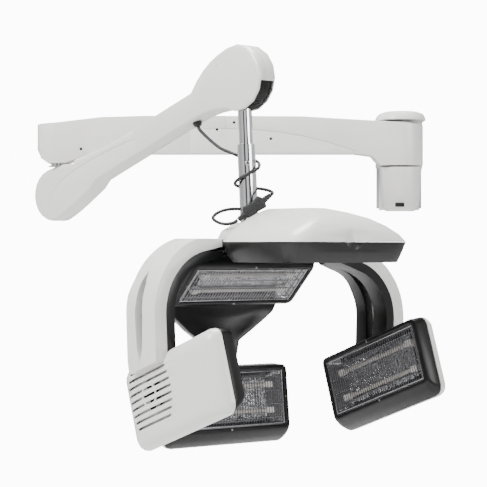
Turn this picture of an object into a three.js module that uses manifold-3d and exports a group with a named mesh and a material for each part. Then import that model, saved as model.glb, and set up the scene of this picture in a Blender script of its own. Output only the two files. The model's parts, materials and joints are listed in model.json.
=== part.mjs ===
// Wall-hung infrared hair processor: a two-link arm carries five flat heads around an open head space.
// Millimetres, +Z up. Origin: centre of the wall plate's rear face. The wall is at Y = 0 and the object is at -Y.
import * as THREE from 'three';
import { mergeVertices } from 'three/addons/utils/BufferGeometryUtils.js';
import Module from 'manifold-3d';

const wasm = await Module();
wasm.setup();

// ---- driving sizes -------------------------------------------------------------------------------------
const gap = 0.3;                 // space left between two pieces that meet
const run = 0.5;                 // running space round a turning piece
const wall = 3;                  // moulded shell wall

const bracketW = 114;            // wall bracket, overall width
const bracketH = 230;            // wall bracket, overall height
const pivotOut = 62;             // wall pivot, distance from the wall
const armSpan = 794;             // wall pivot to elbow
const armTop = 104;              // first arm, top face at mid span
const armBottom = 17;            // first arm, underside at mid span
const armHalf = 35;              // first arm, half thickness at mid span
const armEndR = 51;              // first arm, radius of the wall end
const armTipR = 50;              // first arm, radius of the elbow end
const seamX = -406;              // first arm, cross seam
const wallPinR = 12;
const elbowPinR = 18.5;          // chrome collar of the elbow post
const elbowNeckR = 9;
const elbowDrop = 78;            // lift axis, below the wall plate's centre

const springSpan = 628;          // lift axis to head axis
const springTurn = -42.7;        // rest plan angle of the spring arm, degrees from +X
const springRise = 21.95;        // rest tilt, degrees
const springHalf = 27;           // half thickness
const elbowR = 60;               // elbow end disc
const headR = 71;                // head end disc
const slotHalf = 20;             // half width of the slot in the head rim
const crossSeam = 303;           // spring arm, cross seam along the arm
const underArm = 69.5;           // the spring arm's top stays this low round the elbow's axis
const elbowRoom = 84;            // radius of that room
const linkRise = 22;             // levelling link pivots above the lift and head axes
const linkSide = 14;             // levelling link, sideways from the arm's middle

const tubeR = 15;                // stem tube
const sleeveR = 19;              // stem sleeve
const sleeveTop = 18;
const sleeveEnd = -150;
const stemLean = 2.4;            // the stem hangs this far off plumb, degrees
const leadR = 3.5;

const hoodTurn = -53;            // rest yaw of the hood, degrees from +X to its front
const hubTop = -146;
const hubHalf = 62;              // hub, half width
const hubDeep = 34;              // hub, height of its cover
const visorFront = 342;          // visor, reach in front of the stem
const visorHalf = 156;           // visor, half width
const visorTop = -119;
const visorSeam = -187;
const visorFloor = -228;
const headW = 325;               // infrared head, outline at its seam
const headH = 170;
const frontW = 315;              // head frame, outline at the guard
const frontH = 140;
const guardW = 295;              // guard opening
const guardH = 120;
const frameDepth = 30;
const backDepth = 36;
const fanR = 38;
const fanSide = 70;              // fan centre, sideways from the head's middle
const sideOut = 239;             // side guards, from the hood's middle plane
const sideFront = 133;           // side head centres, in front of the stem
const sideDrop = -468;
const sidePitch = 19;            // side heads, nose-up pitch
const rightIn = 12;              // right head stands a little closer in and higher
const rightUp = 8;
const rearBack = -67;
const rearDrop = -523;
const rearTuck = 6;
const crownSlope = 44;
const crownDrop = -280;
const wingR = 153;               // wing arc, outer radius
const leftArc = [170, -328];     // wing arc centres: from the middle plane, height
const rightArc = [173, -349];
const wingDepth = 48;            // wing, white and black together, along the arc radius
const linerDepth = 20;

// ---- finishes ------------------------------------------------------------------------------------------
const finish = (color, roughness, metalness = 0) =>
  new THREE.MeshStandardMaterial({ color, roughness, metalness });
const white = finish(0xe6e5e2, 0.42);
const black = finish(0x17181a, 0.45);
const darkGrey = finish(0x2b2c2e, 0.5);
const chrome = finish(0xc9cbce, 0.12, 1);
const steel = finish(0x8c8f93, 0.35, 1);
const bronze = finish(0x9a7a45, 0.4, 1);
const reflector = finish(0xd6d8da, 0.15, 1);
const rubber = finish(0x111214, 0.6);

const rad = THREE.MathUtils.degToRad;

// ---- solids --------------------------------------------------------------------------------------------
function toSolid(geometry) {
  const bare = geometry.clone();
  bare.deleteAttribute('normal');
  bare.deleteAttribute('uv');
  const merged = mergeVertices(bare, 1e-4);
  const mesh = new wasm.Mesh({
    numProp: 3,
    vertProperties: new Float32Array(merged.attributes.position.array),
    triVerts: new Uint32Array(merged.index.array),
  });
  mesh.merge();
  return new wasm.Manifold(mesh);
}

function toGeometry(solid) {
  const mesh = solid.getMesh();
  const geometry = new THREE.BufferGeometry();
  geometry.setAttribute('position', new THREE.BufferAttribute(new Float32Array(mesh.vertProperties), 3));
  geometry.setIndex(new THREE.BufferAttribute(new Uint32Array(mesh.triVerts), 1));
  return geometry;
}

// A cut can leave a sliver beside the piece: keep the piece.
function largest(solid, tolerance = 0.05) {
  return solid.simplify(tolerance).decompose().reduce((best, next) => (next.volume() > best.volume() ? next : best));
}

function piece(parent, name, solid, material) {
  const mesh = new THREE.Mesh(toGeometry(largest(solid)), material);
  mesh.name = name;
  parent.add(mesh);
  return mesh;
}

// A closed body through rings of points that all hold the same number of points.
function loft(rings) {
  const count = rings[0].length;
  const points = rings.flat();
  const faces = [];
  for (let r = 0; r + 1 < rings.length; r += 1) {
    for (let i = 0; i < count; i += 1) {
      const a = r * count + i;
      const b = r * count + (i + 1) % count;
      faces.push(a, b, b + count, a, b + count, a + count);
    }
  }
  for (const [first, last] of [[true, 0], [false, rings.length - 1]]) {
    const centre = points.length;
    const ring = rings[last];
    points.push([0, 1, 2].map((k) => ring.reduce((sum, p) => sum + p[k], 0) / count));
    for (let i = 0; i < count; i += 1) {
      const a = last * count + i;
      const b = last * count + (i + 1) % count;
      faces.push(...(first ? [centre, b, a] : [centre, a, b]));
    }
  }
  let volume = 0;
  for (let t = 0; t < faces.length; t += 3) {
    const [p, q, r] = [points[faces[t]], points[faces[t + 1]], points[faces[t + 2]]];
    volume += p[0] * (q[1] * r[2] - q[2] * r[1]) - p[1] * (q[0] * r[2] - q[2] * r[0])
      + p[2] * (q[0] * r[1] - q[1] * r[0]);
  }
  if (volume < 0) faces.reverse();
  const geometry = new THREE.BufferGeometry();
  geometry.setAttribute('position', new THREE.BufferAttribute(new Float32Array(points.flat()), 3));
  geometry.setIndex(faces);
  return toSolid(geometry);
}

// A rounded rectangle, as points around (x, y).
function roundRect(w, h, r, x = 0, y = 0, steps = 3) {
  const corners = [[1, 1, 0], [-1, 1, 90], [-1, -1, 180], [1, -1, 270]];
  return corners.flatMap(([sx, sy, start]) => Array.from({ length: steps + 1 }, (_, k) => {
    const a = rad(start + 90 * k / steps);
    return [x + sx * (w / 2 - r) + r * Math.cos(a), y + sy * (h / 2 - r) + r * Math.sin(a)];
  }));
}

const flatRing = (outline, z) => outline.map(([x, y]) => [x, y, z]);

function box(x0, x1, y0, y1, z0, z1) {
  const geometry = new THREE.BoxGeometry(x1 - x0, y1 - y0, z1 - z0);
  geometry.translate((x0 + x1) / 2, (y0 + y1) / 2, (z0 + z1) / 2);
  return toSolid(geometry);
}

// A cylinder from one point to another.
function rod(from, to, r, sides = 18, endR = r) {
  const a = new THREE.Vector3(...from);
  const b = new THREE.Vector3(...to);
  const geometry = new THREE.CylinderGeometry(endR, r, a.distanceTo(b), sides);
  const turn = new THREE.Quaternion().setFromUnitVectors(new THREE.Vector3(0, 1, 0), b.clone().sub(a).normalize());
  geometry.applyQuaternion(turn);
  geometry.translate(...a.add(b).multiplyScalar(0.5).toArray());
  return toSolid(geometry);
}

// An outline in X and Z, pushed along Y from y0 to y1, with edges rounded by r and the outline inset by 'inset'.
function slab(shape, y0, y1, r = 0, inset = 0, curveSegments = 5) {
  const geometry = new THREE.ExtrudeGeometry(shape, {
    depth: y1 - y0 - 2 * r,
    bevelEnabled: r > 0 || inset > 0,
    bevelThickness: Math.max(r, 0.001),
    bevelSize: r,
    bevelOffset: -r - inset,
    bevelSegments: r > 0 ? 2 : 1,
    curveSegments,
  });
  geometry.rotateX(Math.PI / 2);
  geometry.translate(0, y1 - r, 0);
  return toSolid(geometry);
}

function polygon(points) {
  return new THREE.Shape(points.map(([x, y]) => new THREE.Vector2(x, y)));
}

// An outline in X and Y, raised from z0 to z1.
function plate(shape, z0, z1, curveSegments = 6) {
  const geometry = new THREE.ExtrudeGeometry(shape, { depth: z1 - z0, bevelEnabled: false, curveSegments });
  geometry.translate(0, 0, z0);
  return toSolid(geometry);
}

function frameOf(origin, xAxis, yAxis, zAxis) {
  const group = new THREE.Group();
  const matrix = new THREE.Matrix4().makeBasis(...[xAxis, yAxis, zAxis].map((v) => new THREE.Vector3(...v)));
  matrix.setPosition(...origin);
  matrix.decompose(group.position, group.quaternion, group.scale);
  return group;
}

// ---- wall bracket --------------------------------------------------------------------------------------
const model = new THREE.Group();
const plateT = 4;
const cupTop = -14;              // under the arm's wall end
const hoodBottom = 95;           // over the arm's wall end
const armEndTop = 89;
const armEndBottom = -10;

// Plan outline of the bracket: flat on the wall, round in front of the pivot.
function bracketOutline(half, inset) {
  const shape = new THREE.Shape();
  const r = half - inset;
  shape.moveTo(-r, -inset);
  shape.lineTo(-r, -pivotOut);
  shape.absarc(0, -pivotOut, r, Math.PI, 2 * Math.PI, false);
  shape.lineTo(r, -inset);
  shape.closePath();
  return shape;
}

function makeBracket() {
  const half = bracketW / 2;
  const spineDepth = pivotOut - armEndR - 2;
  const plateW = bracketW - 2 * wall - 2;
  const plateH = bracketH - 2 * wall - 8;
  piece(model, 'wall_plate', box(-plateW / 2, plateW / 2, -plateT, 0, -plateH / 2, plateH / 2), steel);

  const topRings = [[hoodBottom, half], [bracketH / 2 - 14, half - 1], [bracketH / 2 - 5, half - 6],
    [bracketH / 2, half - 20]];
  const hood = loft(topRings.map(([z, r]) => flatRing(bracketOutline(half, half - r).getPoints(14).slice(0, -1), z)));
  const spine = box(-half + 2, half - 2, -spineDepth, 0, cupTop - 20, hoodBottom + 2);
  const cover = hood.add(spine)
    .subtract(box(-plateW / 2 - gap, plateW / 2 + gap, -plateT - gap, 1, -plateH / 2 - gap, plateH / 2 + gap))
    .subtract(rod([0, -pivotOut, hoodBottom - 1], [0, -pivotOut, hoodBottom + 8], wallPinR + gap))
    .subtract(box(-half, half, -200, 1, -200, cupTop + gap));
  piece(model, 'bracket_cover', cover, white);

  const cupRings = [[cupTop, half - 9], [-60, half - 12], [-100, half - 14], [-110, half - 18],
    [-bracketH / 2, half - 26]];
  const cup = loft(cupRings.map(([z, r]) => flatRing(bracketOutline(half, half - r).getPoints(14).slice(0, -1), z)))
    .add(box(-half + 10, half - 10, -12, 0, -bracketH / 2 + 3, cupTop))
    .subtract(box(-plateW / 2 - gap, plateW / 2 + gap, -plateT - gap, 1, -plateH / 2 - gap, plateH / 2 + gap))
    .subtract(rod([0, -pivotOut, -90], [0, -pivotOut, cupTop + 1], wallPinR + gap));
  piece(model, 'bracket_cup', cup, white);

  piece(model, 'wall_pin', rod([0, -pivotOut, -90 + gap], [0, -pivotOut, hoodBottom + 8 - gap], wallPinR, 20), steel);
}

// ---- first arm -----------------------------------------------------------------------------------------
const tipX = -armSpan;
const tipBottom = -5;
const tipTop = 88;
const ductEnd = -110;            // duct cover, its end near the wall

function armPlan(inset) {
  const shape = new THREE.Shape();
  const endR = armEndR - inset;
  const tipR = armTipR - inset;
  const half = armHalf - inset;
  shape.absarc(0, 0, endR, rad(-120), rad(120), false);
  shape.bezierCurveTo(-60, half + 4, -90, half, -170, half);
  shape.lineTo(tipX + 150, half);
  shape.bezierCurveTo(tipX + 90, half, tipX + 60, tipR * 0.9, tipX + 20, tipR * Math.sin(rad(65)) + 3);
  shape.absarc(tipX, 0, tipR, rad(75), rad(285), false);
  shape.bezierCurveTo(tipX + 60, -tipR * 0.9, tipX + 90, -half, tipX + 150, -half);
  shape.lineTo(-170, -half);
  shape.bezierCurveTo(-90, -half, -60, -half - 4, endR * Math.cos(rad(240)), endR * Math.sin(rad(240)));
  return shape;
}

function armSide(inset) {
  const left = tipX - armTipR - 5;
  const right = armEndR + 5;
  return polygon([
    [left, 36], [tipX - 46, 22 + inset / 2], [tipX - 38, 6 + inset], [tipX - 22, tipBottom + inset],
    [tipX + 20, tipBottom + inset], [tipX + 68, armBottom - 2 + inset],
    [tipX + 110, armBottom + inset], [-110, armBottom + inset], [-70, armBottom - 5 + inset],
    [-50, armEndBottom + inset], [right, armEndBottom + inset], [right, armEndTop - 6 - inset],
    [0, armEndTop - inset], [-80, armTop - 10 - inset], [-230, armTop - 1 - inset], [-400, armTop - inset],
    [tipX + 200, armTop - inset], [tipX + 100, armTop - 3 - inset], [tipX, tipTop - inset],
    [left, tipTop - 3 - inset],
  ]);
}

function armBody(inset) {
  const tall = plate(armPlan(inset), -40, 130, 6);
  return tall.translate(0, -pivotOut, 0)
    .intersect(slab(armSide(inset), -pivotOut - 80, -pivotOut + 80));
}

// Everything below the curved seam, from just left of the cross seam to the wall end.
function ductRegion(lift) {
  const shape = new THREE.Shape();
  shape.moveTo(seamX - 84, -60);
  shape.lineTo(seamX - 84, 74 + lift);
  shape.lineTo(seamX, 74 + lift);
  shape.bezierCurveTo(seamX + 106, 74 + lift, seamX + 191, 60 + lift, ductEnd + lift, 24 + lift);
  shape.lineTo(ductEnd + lift, -60);
  shape.closePath();
  return slab(shape, -pivotOut - 90, -pivotOut + 90);
}

function makeFirstArm() {
  const shell = armBody(0).subtract(armBody(wall))
    .subtract(rod([0, -pivotOut, -60], [0, -pivotOut, 150], wallPinR + 8 + gap, 20))
    .subtract(rod([tipX, -pivotOut, -60], [tipX, -pivotOut, 30], elbowPinR + 5 + gap, 20));
  const above = shell.subtract(ductRegion(gap / 2));
  const duct = shell.intersect(ductRegion(-gap / 2));
  const leftOf = (x) => box(-2000, x, -300, 100, -200, 300);
  piece(model, 'arm_shell_elbow', above.intersect(leftOf(seamX - gap / 2)), white);
  piece(model, 'arm_shell_wall', above.subtract(leftOf(seamX + gap / 2)), white);
  piece(model, 'arm_duct_cover', duct, white);

  const beamTop = 62;
  const beamHalf = 18;
  const beam = box(tipX - 26, 26, -pivotOut - beamHalf, -pivotOut + beamHalf, beamTop - 36, beamTop)
    .subtract(box(tipX - 40, 40, -pivotOut - beamHalf + 3, -pivotOut + beamHalf - 3, beamTop - 33, beamTop + 1))
    .add(rod([0, -pivotOut, 4], [0, -pivotOut, armEndTop - 10], wallPinR + 12, 20))
    .add(rod([tipX, -pivotOut, 4], [tipX, -pivotOut, beamTop], elbowPinR + 9, 20))
    .subtract(rod([0, -pivotOut, -60], [0, -pivotOut, 150], wallPinR + 8 + gap, 20))
    .subtract(rod([tipX, -pivotOut, -60], [tipX, -pivotOut, 150], elbowPinR + 5 + gap, 20));
  piece(model, 'arm_beam', beam, steel);

  const wallBush = rod([0, -pivotOut, armEndBottom + 1], [0, -pivotOut, armEndTop - 4], wallPinR + 8, 20)
    .subtract(rod([0, -pivotOut, -60], [0, -pivotOut, 150], wallPinR + run, 20));
  piece(model, 'wall_bush', wallBush, bronze);
  const elbowBush = rod([tipX, -pivotOut, tipBottom], [tipX, -pivotOut, beamTop - 2], elbowPinR + 5, 20)
    .subtract(rod([tipX, -pivotOut, -60], [tipX, -pivotOut, 150], elbowPinR + run, 20));
  piece(model, 'elbow_bush', elbowBush, bronze);
  return beamTop;
}

// ---- elbow post and spring arm -------------------------------------------------------------------------
const cosTurn = Math.cos(rad(springTurn));
const sinTurn = Math.sin(rad(springTurn));
const cosRise = Math.cos(rad(springRise));
const sinRise = Math.sin(rad(springRise));
const along = [cosRise * cosTurn, cosRise * sinTurn, sinRise];
const across = [-sinTurn, cosTurn, 0];
const upward = [-sinRise * cosTurn, -sinRise * sinTurn, cosRise];
const liftAt = [tipX, -pivotOut, -elbowDrop];
const headAt = liftAt.map((v, k) => v + springSpan * along[k]);
const postUp = 90 - springRise;  // direction of the elbow post in the spring arm's side view, degrees
const stemDown = -90 - springRise;

// A sector of a ring in the side view, pushed across the arm.
function ringSector(x, z, inner, outer, from, to, half, steps = 8) {
  const shape = new THREE.Shape();
  shape.absarc(x, z, outer, rad(from), rad(to), false);
  shape.absarc(x, z, inner, rad(to), rad(from), true);
  shape.closePath();
  return slab(shape, -half, half, 0, 0, steps);
}

// Side outline of the spring arm: a disc at each end and a tapered bar between them.
function springOutline() {
  const shape = new THREE.Shape();
  shape.absarc(0, 0, elbowR, rad(100), rad(262), false);
  shape.bezierCurveTo(30, -59, 80, -49, 128, -40);
  shape.lineTo(152, -29);
  shape.lineTo(470, -29);
  shape.bezierCurveTo(510, -29, 540, -34, springSpan - 54, -47);
  shape.absarc(springSpan, 0, headR, rad(-138), rad(92), false);
  shape.bezierCurveTo(springSpan - 50, 71, 540, 60, 496, 28);
  shape.lineTo(240, 30);
  shape.bezierCurveTo(160, 32, 84, 50, 8, elbowR);
  shape.closePath();
  return shape;
}

function makeElbowPost(beamTop) {
  const post = frameOf(liftAt, [cosTurn, sinTurn, 0], across, [0, 0, 1]);
  model.add(post);
  const collarBottom = elbowR + 7;
  const top = elbowDrop + beamTop - 4;
  const knuckleR = 24;
  const neck = rod([0, 0, collarBottom], [0, 0, top], elbowPinR, 20)
    .add(rod([0, 0, linkRise + 3 + run], [0, 0, collarBottom + 5], elbowNeckR, 20));
  piece(post, 'elbow_post', neck, chrome);
  const stub = rod([0, 0, linkRise], [0, linkSide + 5, linkRise], 3);
  const knuckle = rod([0, -8, 0], [0, 8, 0], knuckleR, 20)
    .add(stub)
    .subtract(rod([0, -40, 0], [0, 40, 0], 7 + run));
  piece(post, 'elbow_knuckle', knuckle, steel);
  const cover = ringSector(0, 0, elbowR - 8, elbowR - 5.5, 56, 153, 13)
    .subtract(rod([0, 0, 0], [0, 0, elbowR + 20], elbowNeckR + gap, 16));
  piece(post, 'elbow_slot_cover', cover, rubber);
}

function makeSpringArm() {
  const arm = frameOf(liftAt, along, across, upward);
  model.add(arm);
  const edge = 9;
  const elbowAxis = [Math.sin(rad(springRise)), 0, Math.cos(rad(springRise))];
  const bore = springHalf - wall;
  const outer = slab(springOutline(), -springHalf, springHalf, edge);
  const inner = slab(springOutline(), -bore, bore, edge - wall, wall);
  const postSlot = ringSector(0, 0, elbowR - 12, elbowR + 20, postUp - 20, postUp + 62, elbowNeckR + 2);
  const stemSlot = ringSector(springSpan, 0, headR - 12, headR + 20, stemDown - 16, stemDown + 83, slotHalf);
  const glandAt = 470;
  // Room below the first arm, all round the elbow's axis.
  const clearOf = (depth) => rod(elbowAxis.map((v) => v * (underArm - depth)),
    elbowAxis.map((v) => v * 160), elbowRoom + depth, 36);
  const shell = outer.subtract(clearOf(0)).subtract(inner.subtract(clearOf(wall))).subtract(postSlot).subtract(stemSlot)
    .subtract(rod([glandAt, 0, -60], [glandAt, 0, 0], 8 + gap));

  const elbowPart = box(-200, crossSeam - gap / 2, -60, 60, -200, 200);
  const headPart = box(crossSeam + gap / 2, 1000, -60, 60, -200, 200);
  const capEdge = (shift) => {
    const shape = new THREE.Shape();
    shape.moveTo(-300, 300);
    shape.lineTo(-300, -90 + shift);
    shape.lineTo(-31, -90 + shift);
    shape.bezierCurveTo(-31, -20 + shift, 0, 22 + shift, 90, 20 + shift);
    shape.bezierCurveTo(180, 20 + shift, 240, 18 + shift, 330, 0 + shift);
    shape.lineTo(330, 300);
    shape.closePath();
    return slab(shape, -80, 80);
  };
  piece(arm, 'spring_arm_elbow_cap', shell.intersect(elbowPart).intersect(capEdge(gap / 2)), white);
  piece(arm, 'spring_arm_elbow_shell', shell.intersect(elbowPart).subtract(capEdge(-gap / 2)), white);
  const rimSeam = -6;
  const sideOf = (y0, y1) => box(0, 1000, y0, y1, -200, 200);
  piece(arm, 'spring_arm_face_shell', shell.intersect(headPart).intersect(sideOf(-80, rimSeam - gap / 2)), white);
  piece(arm, 'spring_arm_back_shell', shell.intersect(headPart).intersect(sideOf(rimSeam + gap / 2, 80)), white);

  piece(arm, 'lift_pin', rod([0, -bore + gap, 0], [0, bore - gap, 0], 7, 24), steel);
  piece(arm, 'head_pin', rod([springSpan, -bore + gap, 0], [springSpan, bore - gap, 0], 7, 24), steel);
  const springY = -13;
  const springZ = -8;
  const spring = rod([80, springY, springZ], [330, springY, springZ], 9, 20)
    .add(rod([330, springY, springZ], [440, springY, springZ], 4, 16));
  piece(arm, 'balance_spring', spring, steel);
  const gland = rod([glandAt, 0, -34], [glandAt, 0, -24], 8, 20)
    .add(rod([glandAt, 0, -38], [glandAt, 0, -29.5], 8, 20, 11))
    .subtract(rod([glandAt, 0, -34], [glandAt, 0, 0], leadR + gap, 12));
  piece(arm, 'lead_gland', gland, rubber);

  const link = frameOf([liftAt[0], liftAt[1], liftAt[2] + linkRise], along, across, upward);
  model.add(link);
  const eye = (x) => rod([x, linkSide - 4, 0], [x, linkSide + 4, 0], 7, 20);
  const hole = (x, r) => rod([x, linkSide - 9, 0], [x, linkSide + 9, 0], r, 20);
  const rodBody = eye(0).add(eye(springSpan)).add(rod([0, linkSide, 0], [springSpan, linkSide, 0], 2.2, 16))
    .subtract(hole(0, 3 + run)).subtract(hole(springSpan, 3 + 2 * run));
  piece(link, 'level_rod', rodBody, steel);
}

// ---- stem ----------------------------------------------------------------------------------------------
const headZ = headAt[2];
const leanX = [Math.cos(rad(stemLean)), 0, Math.sin(rad(stemLean))];
const leanZ = [-Math.sin(rad(stemLean)), 0, Math.cos(rad(stemLean))];
const stemFoot = headAt.map((v, k) => v + leanZ[k] * (sleeveEnd - headZ));

function makeStem() {
  const head = frameOf(headAt, [cosTurn, sinTurn, 0], across, [0, 0, 1]);
  model.add(head);
  const knuckleR = 24;
  const knuckle = rod([0, -8, 0], [0, 8, 0], knuckleR, 20)
    .add(rod([0, 0, linkRise], [0, linkSide + 5, linkRise], 3))
    .subtract(rod([0, -40, 0], [0, 40, 0], 7 + run));
  piece(head, 'head_knuckle', knuckle, steel);
  const cover = ringSector(0, 0, headR - 9, headR - 6, -160, 0, slotHalf - 1, 10)
    .subtract(rod([0, 0, -headR - 20], [0, 0, 0], tubeR + 3, 24));
  piece(head, 'head_slot_cover', cover, rubber);

  const stem = frameOf(headAt, leanX, [0, 1, 0], leanZ);
  model.add(stem);
  const top = sleeveTop - headZ;
  const end = sleeveEnd - headZ;
  const tube = rod([0, 0, end + 30], [0, 0, -knuckleR - gap], tubeR, 24)
    .subtract(rod([0, 0, end + 25], [0, 0, -knuckleR - 20], tubeR - 2, 20));
  piece(stem, 'stem_tube', tube, chrome);
  const screwDir = [Math.cos(rad(-40)), Math.sin(rad(-40))];
  const screwAt = (r) => [screwDir[0] * r, screwDir[1] * r, top - 37];
  const sleeve = rod([0, 0, end], [0, 0, top], sleeveR, 24)
    .subtract(rod([0, 0, end - 5], [0, 0, top + 5], tubeR + gap, 24))
    .subtract(rod(screwAt(0), screwAt(sleeveR + 5), 3.5, 16));
  piece(stem, 'stem_sleeve', sleeve, chrome);
  piece(stem, 'set_screw', rod(screwAt(tubeR + 0.8), screwAt(sleeveR + 2), 3.1, 16), chrome);
}

// ---- hood ----------------------------------------------------------------------------------------------
const hood = new THREE.Group();
hood.position.set(stemFoot[0], stemFoot[1], 0);
hood.rotation.z = rad(hoodTurn);
model.add(hood);

// Plan outline of the visor: round behind, square in front.
function visorRing(back, front, half, z, sides = 28) {
  const middle = (back + front) / 2;
  const reach = (front - back) / 2;
  return Array.from({ length: sides }, (_, i) => {
    const a = 2 * Math.PI * i / sides;
    const power = Math.cos(a) > 0 ? 2 / 8 : 2 / 3.6;
    const along2 = Math.sign(Math.cos(a)) * Math.abs(Math.cos(a)) ** power;
    const out = Math.sign(Math.sin(a)) * Math.abs(Math.sin(a)) ** power;
    return [middle + reach * along2, half * out, z];
  });
}

const crownBack = 22;            // depth of the crown frame
const crownAt = [-16, 0, crownDrop];
const crownAxes = [[0, 1, 0], [Math.cos(rad(crownSlope)), 0, Math.sin(rad(crownSlope))],
  [Math.sin(rad(crownSlope)), 0, -Math.cos(rad(crownSlope))]];
const hingeOut = 84;             // wing hinges, from the middle plane
const hingeDrop = -190;
const hingeR = 5;
const hingeEnd = 58;
const visorHinge = [70, -196];   // in front of the stem, height
const leadHole = [-20, 17];      // lead entry in the hub's top
const visorBack = 56;

function placed(solid, origin, axes) {
  const group = frameOf(origin, ...axes);
  group.updateMatrix();
  return solid.transform(group.matrix.elements);
}

function makeHub() {
  const rings = [[hubTop, 46, 46], [hubTop - 5, 62, 66], [hubTop - 18, 92, 108], [hubTop - hubDeep, 104, 2 * hubHalf]];
  const ringOf = (z, w, h) => flatRing(roundRect(w, h, Math.min(w, h) * 0.42, -6, 0, 5), z);
  const shell = loft(rings.map(([z, w, h]) => ringOf(z, w, h)))
    .subtract(loft(rings.map(([z, w, h]) => ringOf(z - wall, w - 2 * wall, h - 2 * wall))))
    .subtract(rod([0, 0, hubTop - 10], [0, 0, hubTop + 5], sleeveR + 1, 20))
    .subtract(rod([leadHole[0], leadHole[1], hubTop - 10], [leadHole[0], leadHole[1], hubTop + 5], leadR + 1, 12));
  piece(hood, 'hub_shell', shell, white);
  const top = hubTop - 18;
  const keepout = placed(box(-200, 200, -100, 100, -crownBack - gap, 60), crownAt, crownAxes);
  const lug = (side) => box(8, 19, ...[side * 30, side * (hingeOut + 9)].sort((a, b) => a - b), hingeDrop - 9,
    hingeDrop + 9).add(rod([15, side * hingeOut, hingeDrop], [hingeEnd, side * hingeOut, hingeDrop], hingeR, 16));
  const chassis = box(-20, 26, -34, 34, -236, top)
    .add(lug(1)).add(lug(-1))
    .add(rod([visorHinge[0], -60, visorHinge[1]], [visorHinge[0], 60, visorHinge[1]], hingeR, 16))
    .add(box(20, visorHinge[0] + 4, -18, 18, visorHinge[1] - 6, visorHinge[1] + 6))
    .subtract(box(-15, 21, -29, 29, -260, top - 5))
    .subtract(keepout);
  piece(hood, 'hub_chassis', chassis, black);
}

function makeVisor() {
  const back = visorBack;
  const front = visorFront;
  const half = visorHalf;
  const layers = [
    [back, front, half, visorSeam], [back, front - 7, half - 13, visorSeam + 15],
    [back, front - 17, half - 42, visorSeam + 32], [back + 1, front - 34, half - 76, visorSeam + 47],
    [back + 4, front - 68, half - 108, visorSeam + 59], [back + 24, front - 118, half - 130, visorTop],
  ];
  // Finger scoop in the front edge, with a wall of its own round it.
  const scoop = (grow) => loft([[-30 - grow, 12, 8], [-16, 25, 4], [6, 30, 0], [26, 24, -4], [44 + grow, 8, -14]].map(
    ([z, r, shift]) => flatRing(Array.from({ length: 16 }, (_, i) => {
      const a = 2 * Math.PI * i / 16;
      return [front + 10 + shift + (r + grow) * 0.75 * Math.cos(a), (r + grow) * Math.sin(a)];
    }), visorSeam + z)));
  const recess = scoop(0);
  const recessWall = scoop(wall);
  const cover = loft(layers.map((l) => visorRing(...l)))
    .subtract(loft(layers.slice(0, -1).map(([b, f, h, z]) =>
      visorRing(b + wall, f - wall, h - wall, z === visorSeam ? z - 1 : z - wall))).subtract(recessWall))
    .subtract(recess);
  piece(hood, 'visor_cover', cover, white);

  const lower = [
    [back, front, half, visorSeam - gap], [back + 6, front - 6, half - 7, visorSeam - 22],
    [back + 22, front - 13, half - 15, visorFloor],
  ];
  const tray = loft(lower.map((l) => visorRing(...l)))
    .subtract(loft([[back + wall, front - wall, half - wall, visorSeam + 5],
      [back + 8, front - 10, half - 10, visorSeam - 22], [back + 28, front - 17, half - 19, visorFloor + wall]]
      .map((l) => visorRing(...l))).subtract(recessWall))
    .subtract(recess)
    .subtract(box(0, visorHinge[0] + 12, -24, 24, visorFloor - 5, visorSeam + 5))
    .subtract(rod([visorHinge[0], -66, visorHinge[1]], [visorHinge[0], 66, visorHinge[1]], hingeR + run));
  piece(hood, 'visor_tray', tray, darkGrey);
}

// ---- infrared heads ------------------------------------------------------------------------------------
// In its own frame a head looks along +Z, with X along its length and Y up.
function headSlots(width, height, count, depth) {
  const pitch = width / count;
  const cuts = Array.from({ length: count }, (_, i) => {
    const x = -width / 2 + pitch * (i + 0.5);
    return box(x - pitch * 0.36, x + pitch * 0.36, -height / 2, height / 2, -depth, depth);
  });
  return cuts.reduce((sum, cut) => sum.add(cut));
}

const headBehind = [[0, 0, 0, 20, 0], [14, 8, 6, 24, 1], [backDepth * 0.75, 40, 34, 34, 3], [backDepth, 96, 76, 34, 5]];

// The whole outside of a side head, grown all round.
function headSolid(grow) {
  const front = [[8, headW - frontW, headH - frontH, 12, 11], [frameDepth * -0.4, 3, 15, 16, 4]];
  const back = headBehind.map(([z, w, h, r, lift]) => [-frameDepth - z - (z === backDepth ? grow : 0), w, h, r, lift]);
  return loft([...front, ...back].map(([z, w, h, r, lift]) =>
    flatRing(roundRect(headW - w + 2 * grow, headH - h + 2 * grow, r, 0, lift - 11), z)));
}

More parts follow.
